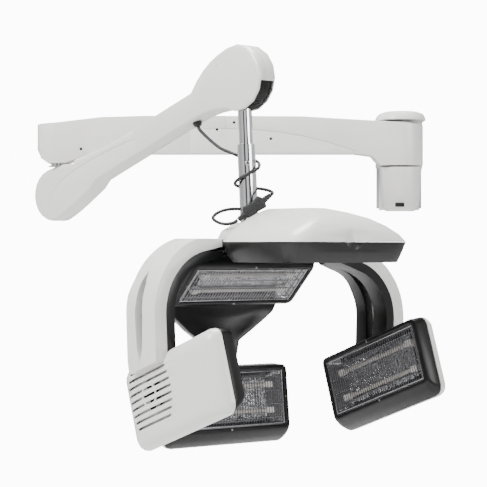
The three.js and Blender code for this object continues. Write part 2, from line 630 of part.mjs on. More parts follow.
function makeHead(name, origin, axes, options) {
  const { tall = headH, depth = frameDepth, back = true, chin = 11 } = options;
  const group = frameOf(origin, ...axes);
  hood.add(group);
  const openH = guardH - (headH - tall);
  const frontTall = frontH - (headH - tall);
  const outer = loft([
    flatRing(roundRect(frontW, frontTall, 12), 0),
    flatRing(roundRect(headW - 3, (frontTall + tall) / 2, 16, 0, -chin * 0.6), -depth * 0.4),
    flatRing(roundRect(headW, tall, 20, 0, -chin), -depth),
  ]);
  const frame = outer.subtract(loft([
    flatRing(roundRect(guardW, openH, 8), 2), flatRing(roundRect(guardW, openH, 8), -depth - 2),
  ]));
  piece(group, `${name}_frame`, frame, black);

  const innerW = guardW - 2 * gap;
  const innerH = openH - 2 * gap;
  const tray = loft([
    flatRing(roundRect(innerW, innerH, 8), -4), flatRing(roundRect(innerW - 56, innerH - 16, 8), -depth + gap),
  ]).subtract(loft([
    flatRing(roundRect(innerW - 3, innerH - 3, 7), 0), flatRing(roundRect(innerW - 60, innerH - 20, 7), -depth + 2),
  ]));
  piece(group, `${name}_reflector`, tray, reflector);
  const guard = loft([
    flatRing(roundRect(innerW, innerH, 8), -1), flatRing(roundRect(innerW, innerH, 8), -3.5),
  ]).subtract(headSlots(innerW - 8, innerH - 8, 12, 10));
  piece(group, `${name}_guard`, guard, steel);
  if (!back) return group;

  const bowl = (shrink, push) => loft(headBehind.map(([z, w, h, r, lift]) =>
    flatRing(roundRect(headW - w - shrink, tall - h - shrink, r, 0, lift - chin), -depth - Math.max(z, gap) + push)));
  const fanAt = options.fanSide;
  const grille = [-2, -1, 0, 1, 2].map((k) => box(fanAt - 62, fanAt + 62, k * 15 - 3.5, k * 15 + 3.5, -100, -depth - 20))
    .reduce((sum, cut) => sum.add(cut));
  const cavity = bowl(2 * wall, wall).add(loft([
    flatRing(roundRect(headW - 2 * wall, tall - 2 * wall, 18, 0, -chin), -depth + 2),
    flatRing(roundRect(headW - 2 * wall, tall - 2 * wall, 18, 0, -chin), -depth - 2),
  ]));
  piece(group, `${name}_back`, bowl(0, 0).subtract(cavity).subtract(grille), options.skin);

  const fanTop = -depth - 22;
  const blades = Array.from({ length: 5 }, (_, k) => box(4, fanR - 4, -7, 7, fanTop, fanTop + 3)
    .rotate([0, 0, 72 * k]));
  const fan = blades.reduce((sum, blade) => sum.add(blade), rod([0, 0, fanTop - 1], [0, 0, fanTop + 12], 12, 20));
  piece(group, `${name}_fan`, fan.translate(fanAt, 0, 0), darkGrey);
  return group;
}

// ---- wings ---------------------------------------------------------------------------------------------
// Outer line of a wing in the plane across the hood, for one side, from the hub down to its head.
const wingStart = 74;
const wingFoot = -450;
const footY = 50;                // wing foot, above the middle of the head
const prongGap = [64, -334];     // gap between the two prongs of a wing
const prongSlot = [13, 90];
const wingRoot = -153;           // top of the wing where it meets the hub
function wingBand([wingArcOut, wingArcDrop], outerCut, innerCut) {
  const shape = new THREE.Shape();
  const outer = wingR - outerCut;
  const inner = wingR - innerCut;
  const turn = rad(75);
  shape.moveTo(wingStart, wingRoot - outerCut);
  shape.absarc(wingArcOut, wingArcDrop, outer, turn, 0, true);
  shape.lineTo(wingArcOut + outer - 4, wingFoot);
  shape.lineTo(wingArcOut + inner - 4, wingFoot);
  shape.lineTo(wingArcOut + inner, wingArcDrop);
  shape.absarc(wingArcOut, wingArcDrop, inner, 0, turn, false);
  shape.lineTo(wingStart, wingRoot - innerCut);
  shape.closePath();
  return shape;
}

// The wing's outline seen from the side (front to back and up), with the slot between its prongs.
function wingSide(side, inset) {
  const outline = polygon([[28, -100], [28, -262], [16, -310], [12, -337], [16, -399], [28, -470],
    [122, -470], [120, -300], [116, -240], [106, -180], [98, -100]]);
  const slot = new THREE.Shape();
  slot.absellipse(prongGap[0], prongGap[1], prongSlot[0] + inset, prongSlot[1] + inset, 0, 2 * Math.PI);
  const reach = (near, far) => [side > 0 ? near : -far, side > 0 ? far : -near];
  return slab(outline, ...reach(20, 420), 0, inset).subtract(slab(slot, ...reach(150, 420), 0, 0, 4));
}

function makeWing(side, arc, headOrigin, headAxes) {
  const band = (outerCut, innerCut) => {
    const solid = slab(wingBand(arc, outerCut, innerCut), -200, -20, 0, 0, 8).rotate([0, 0, 90]);
    return side > 0 ? solid : solid.mirror([0, 1, 0]);
  };
  // The foot reaches down behind the head's back, and the head is cut out of it.
  const headSpace = (grow) => placed(headSolid(grow).add(box(-400, 400, -400, footY + grow, -200, 200)),
    headOrigin, headAxes);
  const bore = rod([0, side * hingeOut, hingeDrop], [hingeEnd + 2, side * hingeOut, hingeDrop], hingeR + run, 16);
  const room = 3;
  const visorSpace = loft([-250, -100].map((z) =>
    visorRing(visorBack - room, visorFront + room, visorHalf + room, z)));
  const crownSpace = placed(box(-headW / 2 - 3, headW / 2 + 3, -82, 82, -crownBack - 3, 60), crownAt, crownAxes);
  const whole = wingSide(side, 0).subtract(headSpace(gap)).subtract(visorSpace).subtract(crownSpace);
  const core = wingSide(side, wall).subtract(headSpace(wall + gap));
  const split = wingDepth - linerDepth;
  const cover = whole.intersect(band(0, split - gap)).subtract(core.intersect(band(wall, split + 1)));
  const liner = whole.intersect(band(split, wingDepth)).subtract(core.intersect(band(split - 1, wingDepth - wall)));
  const sleeve = rod([30, side * hingeOut, hingeDrop], [60, side * hingeOut, hingeDrop], hingeR + 4, 16)
    .intersect(band(split, wingDepth)).intersect(whole);
  return [largest(cover.subtract(bore), 0.2), largest(liner.add(sleeve).subtract(bore), 0.2)];
}

function makeWings(leftHead, rightHead, headAxes) {
  const [leftCover, leftLiner] = makeWing(-1, leftArc, leftHead, headAxes);
  piece(hood, 'left_wing', leftCover, white);
  piece(hood, 'left_wing_liner', leftLiner, black);
  const [rightCover, rightLiner] = makeWing(-1, rightArc, rightHead, headAxes)
    .map((s) => s.mirror([0, 1, 0]));
  piece(hood, 'right_wing', rightCover, white);
  piece(hood, 'right_wing_liner', rightLiner, black);
}

// ---- rear shell ----------------------------------------------------------------------------------------
// Height, place of the middle line, half width and how far the sides curve forward.
const rearPath = [[-190, -44, 84, 20], [-225, -56, 134, 20], [-270, -92, 150, 20], [-310, -122, 150, 20],
  [-338, -132, 136, 34], [-354, -132, 116, 44], [-378, -127, 84, 52], [-400, -118, 50, 56], [-446, -108, 36, 60]];

function rearBand(from, to) {
  return loft(rearPath.map(([z, f, half, curl]) => {
    const line = Array.from({ length: 9 }, (_, i) => half * (i - 4) / 4);
    const at = (l, shift) => [f + curl * (l / 150) ** 2 + shift, l, z];
    return [...line.map((l) => at(l, from)), ...line.reverse().map((l) => at(l, to))];
  }));
}

function makeRearShell() {
  const whole = rearBand(-11, 11);
  const liner = whole.subtract(rearBand(-40, -2 + 3 * gap));
  piece(hood, 'rear_liner', liner, black);
  piece(hood, 'rear_cover', whole.intersect(rearBand(-30, -2)), white);
}

// ---- leads ---------------------------------------------------------------------------------------------
const hangRoute = [[-463.3, -367.6, 62], [-461, -369.5, 56], [-452.6, -378, 46], [-437.3, -392, 31],
  [-415.7, -410, 13], [-396.5, -424, 3.8], [-383.5, -430.5, -2]];
const wrapRoute = [[-382.8, -430.9, -2.6], [-372, -433, -6.5], [-358, -433, -10], [-344, -437, -14],
  [-335, -446, -19], [-332.5, -457, -25], [-335, -469, -32], [-343, -477.5, -38], [-354.5, -481.5, -44],
  [-368, -480.5, -51], [-379, -473, -58], [-383.5, -461, -64], [-380.5, -447, -68], [-371, -437, -71],
  [-357, -432, -72.5], [-341, -434.5, -73.5], [-325, -442, -75.5], [-312, -454, -79], [-305.5, -469, -83],
  [-305.5, -484, -86], [-307.8, -493, -88.2]];
const plugFrom = [-309, -497, -89];
const plugTo = [-377, -497, -141];
const loopRoute = [[-377.6, -497, -141.5], [-387.5, -496, -147.3], [-404.3, -490, -149.7], [-420, -479, -145.5],
  [-429.7, -463, -136.8], [-421.5, -447, -126.5], [-404, -436, -119.5], [-384, -430, -117], [-368, -429, -118.5],
  [-357, -430.5, -124], [-352.5, -431, -134], [-352.3, -430.5, -145]];

function lead(name, route, steps) {
  const curve = new THREE.CatmullRomCurve3(route.map((p) => new THREE.Vector3(...p)));
  const section = new THREE.Shape();
  section.absarc(0, 0, leadR, 0, 2 * Math.PI);
  const geometry = new THREE.ExtrudeGeometry(section, { steps, extrudePath: curve, curveSegments: 4 });
  piece(model, name, toSolid(geometry), rubber);
}

function makeConnector() {
  const from = new THREE.Vector3(...plugFrom);
  const to = new THREE.Vector3(...plugTo);
  const length = from.distanceTo(to);
  const axis = to.clone().sub(from).normalize();
  const side = new THREE.Vector3(0, -1, 0).cross(axis).normalize();
  const face = axis.clone().cross(side);
  const group = frameOf(plugFrom, side.toArray(), face.toArray(), axis.toArray());
  model.add(group);
  const half = (start, flip) => {
    const at = (t) => start + (flip ? -t : t);
    const relief = loft([[0, 9, 9, 4], [20, 14, 13, 6]].map(([t, w, h, r]) => flatRing(roundRect(w, h, r), at(t))));
    const body = loft([[19, 18, 14, 4], [23, 30, 18, 4], [36, 26, 18, 4], [length / 2 - gap / 2, 24, 17, 4]]
      .map(([t, w, h, r]) => flatRing(roundRect(w, h, r), at(t))));
    return relief.add(body);
  };
  piece(group, 'lead_socket', half(0, false), rubber);
  piece(group, 'lead_plug', half(length, true), rubber);
}

// ---- assembly ------------------------------------------------------------------------------------------
const pitchX = Math.cos(rad(sidePitch));
const pitchZ = Math.sin(rad(sidePitch));
const leftAt = [sideFront, -sideOut, sideDrop];
const leftAxes = [[-pitchX, 0, -pitchZ], [-pitchZ, 0, pitchX], [0, 1, 0]];
const rightAt = [sideFront, sideOut - rightIn, sideDrop + rightUp];
const rightAxes = [[pitchX, 0, pitchZ], [-pitchZ, 0, pitchX], [0, -1, 0]];
const tuckX = Math.cos(rad(rearTuck));
const tuckZ = Math.sin(rad(rearTuck));

makeBracket();
makeElbowPost(makeFirstArm());
makeSpringArm();
makeStem();
makeHub();
makeVisor();
makeHead('left', leftAt, leftAxes, { skin: white, fanSide });
makeHead('right', rightAt, rightAxes, { skin: white, fanSide: -fanSide });
const rearAxes = [[0, 1, 0], [-tuckZ, 0, tuckX], [tuckX, 0, tuckZ]];
makeHead('rear', [rearBack, 0, rearDrop], rearAxes, { skin: white, fanSide: 0 });
makeHead('crown', crownAt, crownAxes, { tall: 150, depth: crownBack, back: false, chin: 0 });
makeWings(leftAt, [rightAt[0], -rightAt[1], rightAt[2]], leftAxes);
makeRearShell();
lead('lead_hang', hangRoute, 12);
lead('lead_wrap', wrapRoute, 32);
lead('lead_loop', loopRoute, 24);
makeConnector();

export default model;
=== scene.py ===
import bpy
import json
from math import cos, pi, radians, sin
from mathutils import Matrix, Vector


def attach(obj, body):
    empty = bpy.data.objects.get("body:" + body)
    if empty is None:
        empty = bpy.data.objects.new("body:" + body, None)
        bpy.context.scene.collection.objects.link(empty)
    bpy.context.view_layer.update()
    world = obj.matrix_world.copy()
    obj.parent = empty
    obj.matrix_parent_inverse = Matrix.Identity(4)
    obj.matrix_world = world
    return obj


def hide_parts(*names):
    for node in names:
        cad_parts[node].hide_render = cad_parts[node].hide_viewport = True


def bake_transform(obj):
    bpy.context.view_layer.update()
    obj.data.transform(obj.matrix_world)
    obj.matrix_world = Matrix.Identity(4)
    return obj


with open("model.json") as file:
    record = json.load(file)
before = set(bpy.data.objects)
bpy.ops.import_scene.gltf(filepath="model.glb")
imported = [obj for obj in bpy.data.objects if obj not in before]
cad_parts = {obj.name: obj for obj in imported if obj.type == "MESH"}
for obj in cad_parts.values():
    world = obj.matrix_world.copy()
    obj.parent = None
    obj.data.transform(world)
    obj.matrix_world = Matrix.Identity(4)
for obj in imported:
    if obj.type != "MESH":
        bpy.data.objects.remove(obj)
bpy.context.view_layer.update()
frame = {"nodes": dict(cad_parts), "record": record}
nodes = frame["nodes"]
smoothAngle = radians(38)        # sharper edges than this stay crisp
weldGap = 0.00005                # joins the loose triangles of a CAD node


# Small helpers used by every piece

def clearSelection():
    if bpy.context.object and bpy.context.object.mode != "OBJECT":
        bpy.ops.object.mode_set(mode="OBJECT")
    bpy.ops.object.select_all(action="DESELECT")


def pick(obj):
    clearSelection()
    obj.select_set(True)
    bpy.context.view_layer.objects.active = obj
    return obj


def settle(obj):
    pick(obj)
    bpy.ops.object.transform_apply(location=True, rotation=True, scale=True)
    return obj


def applyAll(obj):
    pick(obj)
    for modifier in list(obj.modifiers):
        bpy.ops.object.modifier_apply(modifier=modifier.name)
    return obj


def roundEdges(obj, width, segments=3, angle=35):
    bevel = obj.modifiers.new("rounded", "BEVEL")
    bevel.width = width
    bevel.segments = segments
    bevel.limit_method = "ANGLE"
    bevel.angle_limit = radians(angle)
    applyAll(obj)
    bpy.ops.object.shade_smooth_by_angle(angle=smoothAngle)
    return obj


def joined(parts, name):
    clearSelection()
    for part in parts:
        part.select_set(True)
    bpy.context.view_layer.objects.active = parts[0]
    if len(parts) > 1:
        bpy.ops.object.join()
    made = bpy.context.view_layer.objects.active
    made.name = name
    return made


def block(name, low, high, width=0.0008, segments=2):
    clearSelection()
    middle = [(a + b) / 2 for a, b in zip(low, high)]
    bpy.ops.mesh.primitive_cube_add(size=1, location=middle)
    made = bpy.context.object
    made.name = name
    made.scale = [b - a for a, b in zip(low, high)]
    settle(made)
    return roundEdges(made, width, segments) if width else made


def rodBetween(name, start, end, radius, sides=24, width=0.0):
    clearSelection()
    a, b = Vector(start), Vector(end)
    bpy.ops.mesh.primitive_cylinder_add(vertices=sides, radius=radius, depth=(b - a).length,
                                        location=(a + b) / 2)
    made = bpy.context.object
    made.name = name
    made.rotation_mode = "QUATERNION"
    made.rotation_quaternion = (b - a).to_track_quat("Z", "Y")
    settle(made)
    if width:
        return roundEdges(made, width, 3, 40)
    bpy.ops.object.shade_smooth_by_angle(angle=smoothAngle)
    return made


def moved(obj, matrix):
    obj.data.transform(matrix)
    obj.data.update()
    return obj


def copyOf(obj, name, matrix=None):
    made = bpy.data.objects.new(name, obj.data.copy())
    bpy.context.scene.collection.objects.link(made)
    return moved(made, matrix) if matrix else made


def axesAt(origin, x, y, z):
    made = Matrix.Identity(4)
    for column, vector in enumerate((x, y, z, origin)):
        for row in range(3):
            made[row][column] = vector[row]
    return made


def finishAs(obj, material, body, slot, *replaced):
    obj.data.materials.clear()
    obj.data.materials.append(material)
    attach(obj, body)
    if replaced:
        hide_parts(*replaced)
    return obj


# Camera, floor and light
studio = {"eye": (-0.3657, -4.2415, -0.1903), "lens": 133.06, "sensor": 36, "farClip": 200,
          "floorSize": 5.6, "floorAt": (-0.4, -0.6, -1.25), "backdrop": 12}
lights = {
    "softKey": {"place": (-2.4, -2.2, 2.0), "target": (-0.37, -0.4, -0.2), "size": 1.5,
                "power": 185},
    "softFill": {"place": (2.3, -2.6, 0.8), "target": (-0.3, -0.4, -0.2), "size": 1.8, "power": 60},
    "softTop": {"place": (-0.3, 0.1, 2.2), "target": (-0.4, -0.4, -0.2), "size": 1.4, "power": 120},
}
# Walls across the room: place and brightness
wallLevels = [(0.0, 0.55), (0.16, 0.9), (0.27, 0.06), (0.36, 0.05), (0.42, 1.0), (0.58, 1.0),
              (0.66, 0.07), (0.78, 0.06), (0.86, 0.8), (1.0, 0.7)]

clearSelection()
bpy.ops.object.camera_add(location=studio["eye"], rotation=(radians(90), 0, 0))
camera = bpy.context.object
camera.data.lens = studio["lens"]
camera.data.sensor_width = studio["sensor"]
camera.data.clip_end = studio["farClip"]
bpy.context.scene.camera = camera

clearSelection()
bpy.ops.mesh.primitive_plane_add(size=studio["floorSize"], location=studio["floorAt"])
floor = bpy.context.object
floor.name = "studio_floor"

# A white backdrop for the camera, over a dim room whose walls show in the bright metal
world = bpy.data.worlds.new("paleRoom")
bpy.context.scene.world = world
world.use_nodes = True
worldNodes, worldLinks = world.node_tree.nodes, world.node_tree.links
lightPath = worldNodes.new("ShaderNodeLightPath")
direction = worldNodes.new("ShaderNodeTexCoord")
directionParts = worldNodes.new("ShaderNodeSeparateXYZ")
acrossRoom = worldNodes.new("ShaderNodeMapRange")
acrossRoom.inputs["From Min"].default_value = -1
walls = worldNodes.new("ShaderNodeValToRGB")
for position, _ in wallLevels[1:-1]:
    walls.color_ramp.elements.new(position)
for element, (position, brightness) in zip(walls.color_ramp.elements, wallLevels):
    element.position = position
    element.color = (brightness, brightness, brightness, 1)
backdrop = worldNodes.new("ShaderNodeMixRGB")
backdrop.inputs["Color2"].default_value = (*[studio["backdrop"]] * 3, 1)
worldLinks.new(direction.outputs["Generated"], directionParts.inputs["Vector"])
worldLinks.new(directionParts.outputs["X"], acrossRoom.inputs["Value"])
worldLinks.new(acrossRoom.outputs["Result"], walls.inputs["Fac"])
worldLinks.new(walls.outputs["Color"], backdrop.inputs["Color1"])
worldLinks.new(lightPath.outputs["Is Camera Ray"], backdrop.inputs["Fac"])
worldLinks.new(backdrop.outputs["Color"], worldNodes["Background"].inputs["Color"])


def softLight(name, place, target, size, power):
    clearSelection()
    bpy.ops.object.light_add(type="AREA", location=place)
    lamp = bpy.context.object
    lamp.name = name
    lamp.data.shape = "DISK"
    lamp.data.size = size
    lamp.data.energy = power
    lamp.rotation_mode = "QUATERNION"
    lamp.rotation_quaternion = (Vector(target) - Vector(place)).to_track_quat("-Z", "Y")


for name, light in lights.items():
    softLight(name, light["place"], light["target"], light["size"], light["power"])
print("studio ready")


# Finishes
brushGrain = 120                 # scale of the brushed metals' grain


def finishOf(name, colour, roughness, metallic=0.0, grain=900.0, grainDepth=0.04, smudge=0.08,
             wear=0.06, coat=0.0, gleam=0.5):
    made = bpy.data.materials.new(name)
    made.use_nodes = True
    made.diffuse_color = (*colour, 1)
    tree = made.node_tree
    shader = tree.nodes["Principled BSDF"]
    shader.inputs["Metallic"].default_value = metallic
    shader.inputs["Coat Weight"].default_value = coat
    shader.inputs["Coat Roughness"].default_value = 0.12
    shader.inputs["Specular IOR Level"].default_value = gleam
    place = tree.nodes.new("ShaderNodeTexCoord")
    fine = tree.nodes.new("ShaderNodeTexNoise")
    fine.inputs["Scale"].default_value = grain
    fine.inputs["Detail"].default_value = 3
    bump = tree.nodes.new("ShaderNodeBump")
    bump.inputs["Strength"].default_value = grainDepth
    bump.inputs["Distance"].default_value = 0.0006
    broad = tree.nodes.new("ShaderNodeTexNoise")
    broad.inputs["Scale"].default_value = 9
    broad.inputs["Detail"].default_value = 6
    rough = tree.nodes.new("ShaderNodeMapRange")
    rough.inputs["To Min"].default_value = max(0.02, roughness - smudge)
    rough.inputs["To Max"].default_value = roughness + smudge
    tint = tree.nodes.new("ShaderNodeValToRGB")
    tint.color_ramp.elements[0].position = 0.3
    tint.color_ramp.elements[0].color = (*[c * (1 - wear) for c in colour], 1)
    tint.color_ramp.elements[1].position = 0.7
    tint.color_ramp.elements[1].color = (*colour, 1)
    link = tree.links.new
    link(place.outputs["Object"], fine.inputs["Vector"])
    link(place.outputs["Object"], broad.inputs["Vector"])
    link(fine.outputs["Fac"], bump.inputs["Height"])
    link(bump.outputs["Normal"], shader.inputs["Normal"])
    link(broad.outputs["Fac"], rough.inputs["Value"])
    link(rough.outputs["Result"], shader.inputs["Roughness"])
    link(broad.outputs["Fac"], tint.inputs["Fac"])
    link(tint.outputs["Color"], shader.inputs["Base Color"])
    return made


def brushedOf(name, colour, roughness, stretch):
    made = finishOf(name, colour, roughness, 1.0, brushGrain, 0.05, 0.06, 0.1)
    tree = made.node_tree
    turn = tree.nodes.new("ShaderNodeMapping")
    turn.inputs["Scale"].default_value = stretch
    place = next(n for n in tree.nodes if n.type == "TEX_COORD")
    fine = next(n for n in tree.nodes
                if n.type == "TEX_NOISE" and n.inputs["Scale"].default_value == brushGrain)
    tree.links.new(place.outputs["Object"], turn.inputs["Vector"])
    tree.links.new(turn.outputs["Vector"], fine.inputs["Vector"])
    return made


shellWhite = finishOf("shellWhite", (0.78, 0.775, 0.75), 0.3, grainDepth=0.03, wear=0.025,
                      coat=0.15)
satinBlack = finishOf("satinBlack", (0.006, 0.006, 0.0062), 0.3, grain=1400, grainDepth=0.12,
                      wear=0.25, gleam=0.32)
trayGrey = finishOf("trayGrey", (0.013, 0.013, 0.013), 0.3, grain=1200, grainDepth=0.1,
                    wear=0.12, gleam=0.38)
bright = finishOf("brightChrome", (0.82, 0.82, 0.84), 0.09, 1.0, 500, 0.01, 0.04, 0.04)
# Guard wire steel, darker than bare steel: its colour holds painted shade for the dark room the
# wires reflect
wireSteelPaintedShade = brushedOf("wireSteelPaintedShade", (0.34, 0.34, 0.35), 0.26, (1, 8, 1))
hardSteel = brushedOf("hardSteel", (0.5, 0.5, 0.52), 0.34, (1, 1, 9))
# Mirror tray metal, darker than a bright mirror: its colour holds painted shade for the dark room
# it reflects
mirrorTrayPaintedShade = brushedOf("mirrorTrayPaintedShade", (0.34, 0.34, 0.35), 0.2, (6, 1, 1))
oiledBronze = finishOf("oiledBronze", (0.42, 0.26, 0.12), 0.42, 1.0, 700, 0.1)
leadRubber = finishOf("leadRubber", (0.016, 0.016, 0.017), 0.5, grain=1600, grainDepth=0.18,
                      wear=0.3)
deepBlack = finishOf("deepBlack", (0.005, 0.005, 0.005), 0.7, grain=500, grainDepth=0.1, wear=0.2)
lampQuartz = finishOf("lampQuartz", (0.5, 0.47, 0.44), 0.1, 0.0, 300, 0.04, 0.05, 0.2, 0.6)
lampEnd = finishOf("lampEnd", (0.72, 0.7, 0.66), 0.55, 0.0, 900, 0.2, 0.1, 0.1)
floorPale = finishOf("floorPale", (0.93, 0.93, 0.93), 0.75, 0.0, 30, 0.02, 0.05, 0.01)
floor.data.materials.append(floorPale)

slotFinish = {"white": shellWhite, "black": satinBlack, "grey": trayGrey, "chrome": bright,
              "steel": hardSteel, "bronze": oiledBronze, "reflector": mirrorTrayPaintedShade,
              "rubber": leadRubber}
slotOf = {s["node"]: s["material_slot"] for s in frame["record"]["subparts"]}
bodies = frame["record"]["behaviour"]["bodies"]
bodyOf = {node: body for body, members in bodies.items() for node in members}
for name, node in nodes.items():
    node.data.materials.clear()
    node.data.materials.append(slotFinish[slotOf[name]])
print("finishes ready")


# Moulded shells: the fitted shape with drawn corners and soft parting edges
shellEdges = {
    "bracket_cover": 0.004, "bracket_cup": 0.0035, "arm_shell_elbow": 0.006,
    "arm_shell_wall": 0.006, "arm_duct_cover": 0.0025, "spring_arm_elbow_cap": 0.005,
    "spring_arm_elbow_shell": 0.003, "spring_arm_face_shell": 0.006,
    "spring_arm_back_shell": 0.006, "hub_shell": 0.005, "hub_chassis": 0.002,
    "visor_cover": 0.003, "visor_tray": 0.003, "left_wing": 0.004, "right_wing": 0.004,
    "left_wing_liner": 0.004, "right_wing_liner": 0.004, "rear_liner": 0.003,
    "rear_cover": 0.004, "crown_frame": 0.0035, "rear_frame": 0.0035, "left_frame": 0.0035,
    "right_frame": 0.0035, "elbow_post": 0.0012, "stem_sleeve": 0.001,
    "head_slot_cover": 0.001, "elbow_slot_cover": 0.001, "lead_gland": 0.001,
    "arm_beam": 0.0005, "stem_tube": 0.0008, "wall_plate": 0.001,
}
flatAngle = radians(0.6)         # faces flatter than this are made one


def mouldedShell(name, edge):
    made = copyOf(nodes[name], name + "_moulded")
    pick(made)
    bpy.ops.object.mode_set(mode="EDIT")
    bpy.ops.mesh.select_all(action="SELECT")
    bpy.ops.mesh.remove_doubles(threshold=weldGap)
    bpy.ops.mesh.dissolve_limited(angle_limit=flatAngle)
    bpy.ops.object.mode_set(mode="OBJECT")
    if made.data.has_custom_normals:
        bpy.ops.mesh.customdata_custom_splitnormals_clear()
    roundEdges(made, edge, 3, 40)
    return finishAs(made, slotFinish[slotOf[name]], bodyOf[name], slotOf[name], name)


for name, edge in shellEdges.items():
    mouldedShell(name, edge)
print("moulded shells ready")


# Heater heads: wire guard, bright corrugated tray, quartz lamps and screws
# The hood's own directions, and the point they start from
ahead = Vector((0.60182, -0.79864, 0))
toLeft = Vector((0.79864, 0.60182, 0))
overhead = Vector((0, 0, 1))
hoodCentre = Vector((-0.35308, -0.45701, 0))


def turnedBy(v):
    return ahead * v[0] + toLeft * v[1] + overhead * v[2]


def headAxes(origin, x, y, z):
    place = hoodCentre + ahead * origin[0] + toLeft * origin[1] + overhead * origin[2]
    return axesAt(place, turnedBy(x), turnedBy(y), turnedBy(z))


sideC, sideS = cos(radians(19)), sin(radians(19))        # side heads, nose up
tuckC, tuckS = cos(radians(6)), sin(radians(6))          # rear head, tucked under
slopeC, slopeS = cos(radians(44)), sin(radians(44))      # crown head, sloped
headFrame = {
    "left": headAxes((0.133, -0.239, -0.468), (-sideC, 0, -sideS), (-sideS, 0, sideC), (0, 1, 0)),
    "right": headAxes((0.133, 0.227, -0.460), (sideC, 0, sideS), (-sideS, 0, sideC), (0, -1, 0)),
    "rear": headAxes((-0.067, 0, -0.523), (0, 1, 0), (-tuckS, 0, tuckC), (tuckC, 0, tuckS)),
    "crown": headAxes((-0.016, 0, -0.280), (0, 1, 0), (slopeC, 0, slopeS), (slopeS, 0, -slopeC)),
}

headParts = {
    "left": {"body": "left_wing", "tall": 0.12, "deep": 0.030, "chin": 0.011, "screwOut": 0.0045},
    "right": {"body": "right_wing", "tall": 0.12, "deep": 0.030, "chin": 0.011, "screwOut": 0.0045},
    "rear": {"body": "hub", "tall": 0.12, "deep": 0.030, "chin": 0.011, "screwOut": 0.0045},
    "crown": {"body": "hub", "tall": 0.10, "deep": 0.022, "chin": 0.0, "screwOut": 0.0055},
}
frameScrews = {"radius": 0.0021, "side": 0.1515, "sunk": 0.0008, "endSunk": 0.0005}

trayDimples = brushedOf("trayDimples", (0.42, 0.42, 0.43), 0.13, (1, 1, 1))
dimples = trayDimples.node_tree.nodes.new("ShaderNodeTexVoronoi")
dimples.inputs["Scale"].default_value = 150
dimpleBump = next(n for n in trayDimples.node_tree.nodes if n.type == "BUMP")
dimpleBump.inputs["Strength"].default_value = 0.8
dimpleBump.inputs["Distance"].default_value = 0.0015
dimplePlace = next(n for n in trayDimples.node_tree.nodes if n.type == "TEX_COORD")
trayDimples.node_tree.links.new(dimplePlace.outputs["Object"], dimples.inputs["Vector"])
trayDimples.node_tree.links.new(dimples.outputs["Distance"], dimpleBump.inputs["Height"])


guardSizes = {"wide": 0.2915, "shorter": 0.0035, "wire": 0.00085, "pitch": 0.0072, "margin": 0.008,
              "endGap": 0.001, "front": -0.0022, "behind": -0.0040, "cross": 0.0011, "crosses": 4,
              "rim": 0.0017, "rimAt": -0.003, "rimEdge": 0.0004}


def wireGuard(head, tall):
    g = guardSizes
    wide, high, rim, endGap = g["wide"], tall - g["shorter"], g["rim"], g["endGap"]
    wire = rodBetween("wire", (0, -high / 2 + endGap, g["front"]),
                      (0, high / 2 - endGap, g["front"]), g["wire"], 8)
    count = int((wide - g["margin"]) / g["pitch"])
    start = -count * g["pitch"] / 2
    parts = [copyOf(wire, "wire", Matrix.Translation((start + k * g["pitch"], 0, 0)))
             for k in range(count + 1)]
    bpy.data.objects.remove(wire)
    for k in range(g["crosses"]):
        y = (k - (g["crosses"] - 1) / 2) * high / g["crosses"]
        parts.append(rodBetween("cross", (-wide / 2 + endGap, y, g["behind"]),
                                (wide / 2 - endGap, y, g["behind"]), g["cross"], 10))
    for side in (-1, 1):
        y, x = side * (high / 2 - rim), side * (wide / 2 - rim)
        parts.append(rodBetween("rim", (-wide / 2, y, g["rimAt"]), (wide / 2, y, g["rimAt"]),
                                rim, 12, g["rimEdge"]))
        parts.append(rodBetween("rim", (x, -high / 2, g["rimAt"]), (x, high / 2, g["rimAt"]),
                                rim, 12, g["rimEdge"]))
    return moved(joined(parts, head + "_wires"), headFrame[head])


traySizes = {"narrower": 0.066, "shorter": 0.028, "lift": 0.0046, "fins": 34, "finHeight": 0.0014,
             "curl": 0.004, "sheet": 0.0006}


def corrugatedTray(head, tall, deep):
    t = traySizes
    wide, high = guardSizes["wide"] - t["narrower"], tall - t["shorter"]
    clearSelection()
    bpy.ops.mesh.primitive_grid_add(x_subdivisions=t["fins"] * 6, y_subdivisions=6, size=1,
                                    location=(0, 0, -deep + t["lift"]))
    made = bpy.context.object
    made.scale = (wide, high, 1)
    settle(made)
    pitch = wide / t["fins"]
    for vertex in made.data.vertices:
        fin = t["finHeight"] * cos(2 * pi * vertex.co.x / pitch)
        vertex.co.z += fin + t["curl"] * (2 * abs(vertex.co.y) / high) ** 3
    wall = made.modifiers.new("sheet", "SOLIDIFY")
    wall.thickness = t["sheet"]
    applyAll(made)
    bpy.ops.object.shade_smooth()
    made.name = head + "_tray_fins"
    return moved(made, headFrame[head])


lampSizes = {"depth": 0.52, "spread": 0.23, "half": 0.108, "radius": 0.0052, "capAt": 0.114,
             "capHalf": 0.009, "capSide": 0.0065, "ferruleEnd": 0.013, "ferrule": 0.0058}


def quartzLamps(head, tall, deep):
    q = lampSizes
    tubes, ends = [], []
    z = -deep * q["depth"]
    for side in (-1, 1):
        y = side * tall * q["spread"]
        tubes.append(rodBetween("tube", (-q["half"], y, z), (q["half"], y, z), q["radius"],
                                20, 0.001))
        for hand in (-1, 1):
            x = hand * q["capAt"]
            ends.append(block("ceramic", (x - q["capHalf"], y - q["capSide"], z - q["capSide"]),
                              (x + q["capHalf"], y + q["capSide"], z + q["capSide"]), 0.0015, 3))
            ends.append(rodBetween("ferrule", (x - hand * q["capHalf"], y, z),
                                   (x - hand * q["ferruleEnd"], y, z), q["ferrule"], 20, 0.0005))
    tube = moved(joined(tubes, head + "_lamp_tubes"), headFrame[head])
    cap = moved(joined(ends, head + "_lamp_ends"), headFrame[head])
    return tube, cap


